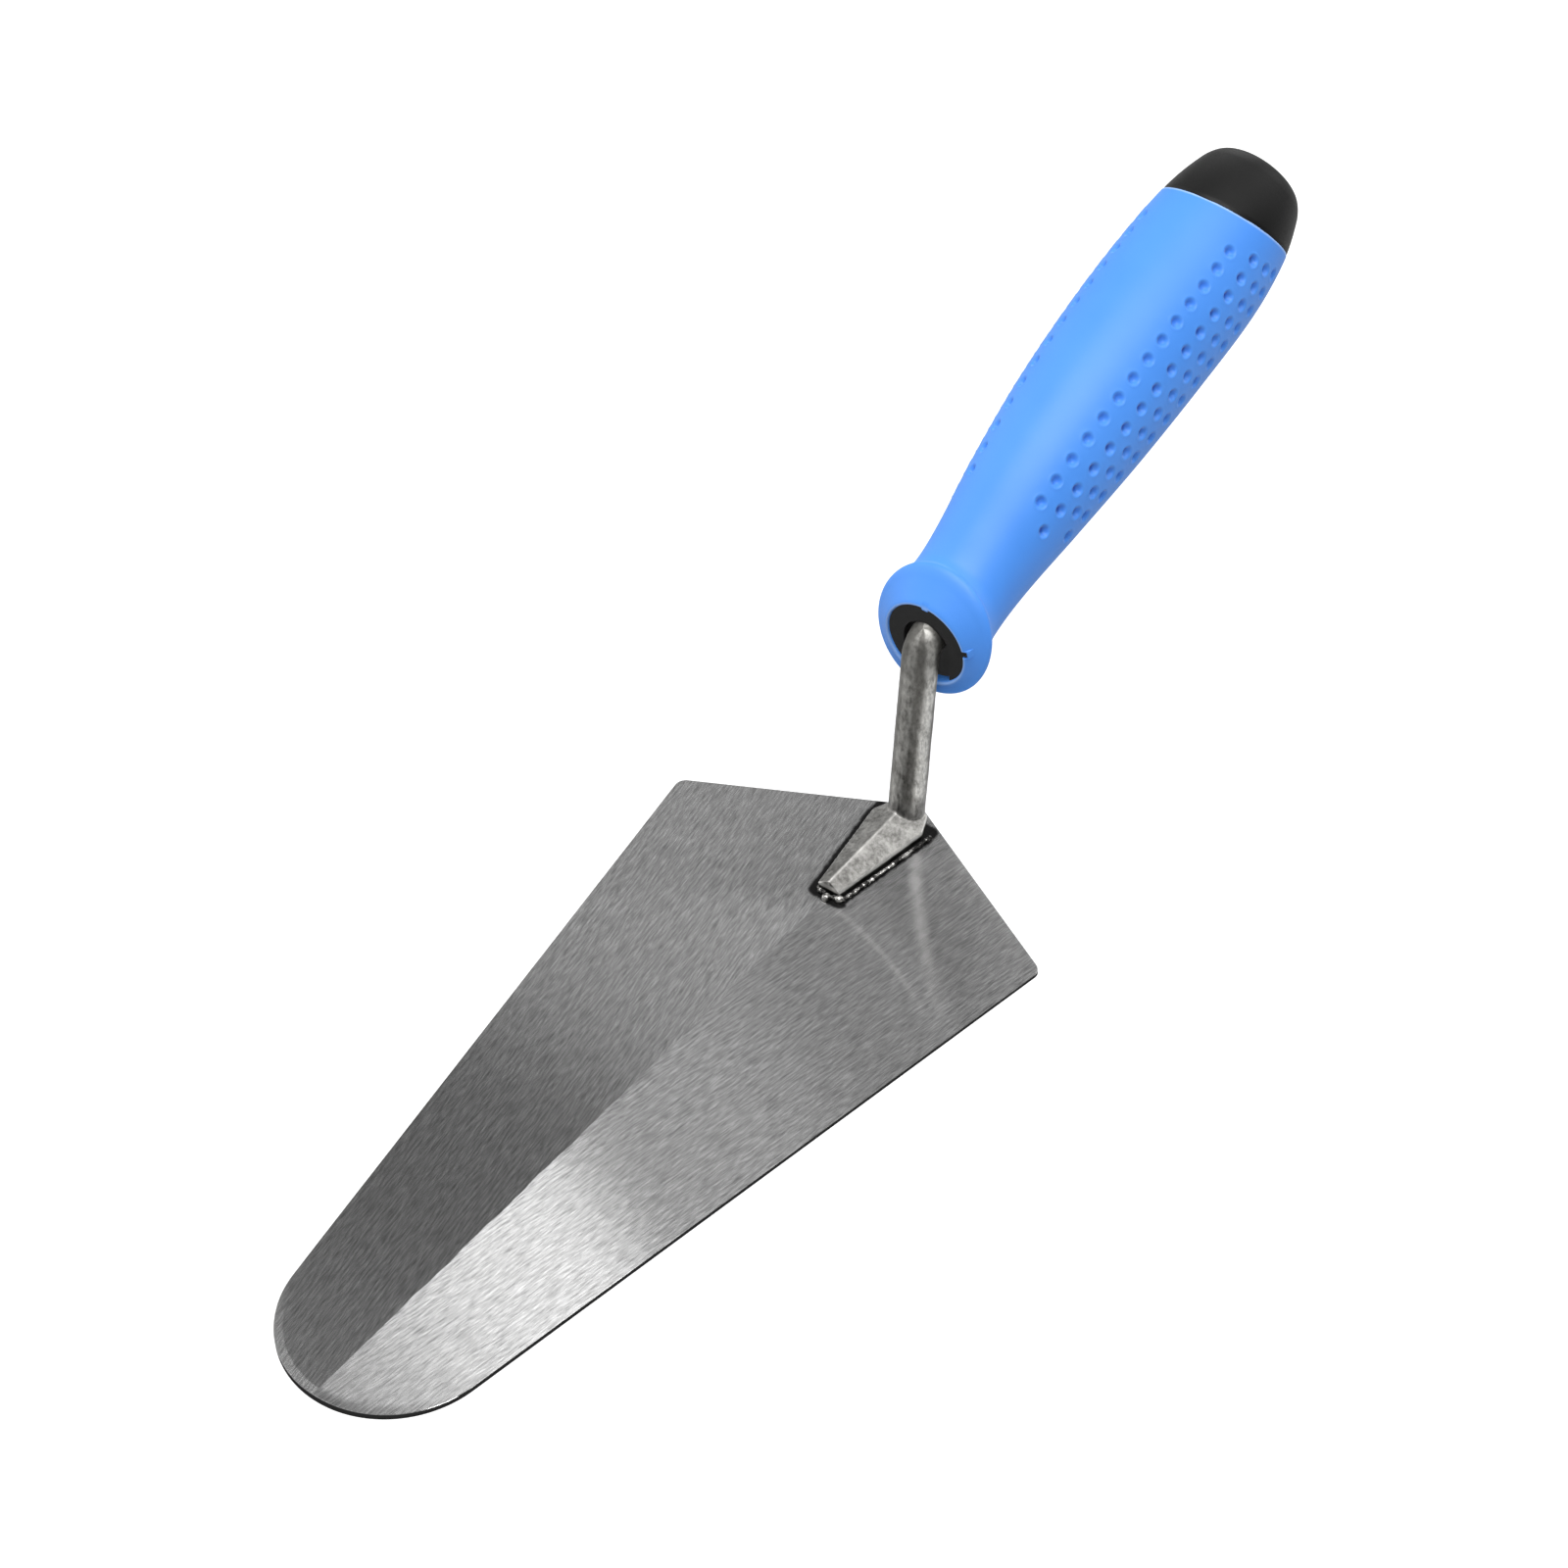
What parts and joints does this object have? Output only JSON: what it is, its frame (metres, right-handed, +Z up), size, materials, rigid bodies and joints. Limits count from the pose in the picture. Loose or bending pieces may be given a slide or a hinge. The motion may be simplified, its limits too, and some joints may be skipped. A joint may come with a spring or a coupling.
{
  "type": "brick trowel",
  "caption": "Round-nosed bricklaying trowel: tapered steel blade, welded cranked shank and a straight soft-grip handle with a rounded butt cap.",
  "frame": {"origin": "on the working face, midway along the overall length", "axes": "+X from the blade's tip towards the butt of the handle, +Z up from the working face to the handle, XZ is the plane of symmetry"},
  "size_m": [0.3312, 0.0986, 0.1065],
  "materials": {
    "blade_steel": "ground, fine lines along each long edge",
    "forged_steel": "forged, dull and mottled",
    "weld_metal": "as welded, glossy dark bead",
    "hard_plastic": "moulded, satin",
    "soft_grip": "soft-touch, matt",
    "cap_plastic": "moulded, fine grain",
    "plated_steel": "zinc plated"
  },
  "bodies": {
    "root": {"blade": "blade_steel", "tang": "forged_steel", "foot_weld": "weld_metal", "nose_collar": "hard_plastic", "handle_core": "hard_plastic", "grip_sleeve": "soft_grip", "butt_cap": "cap_plastic", "tang_washer": "plated_steel", "tang_nut": "plated_steel"}
  },
  "joints": []
}
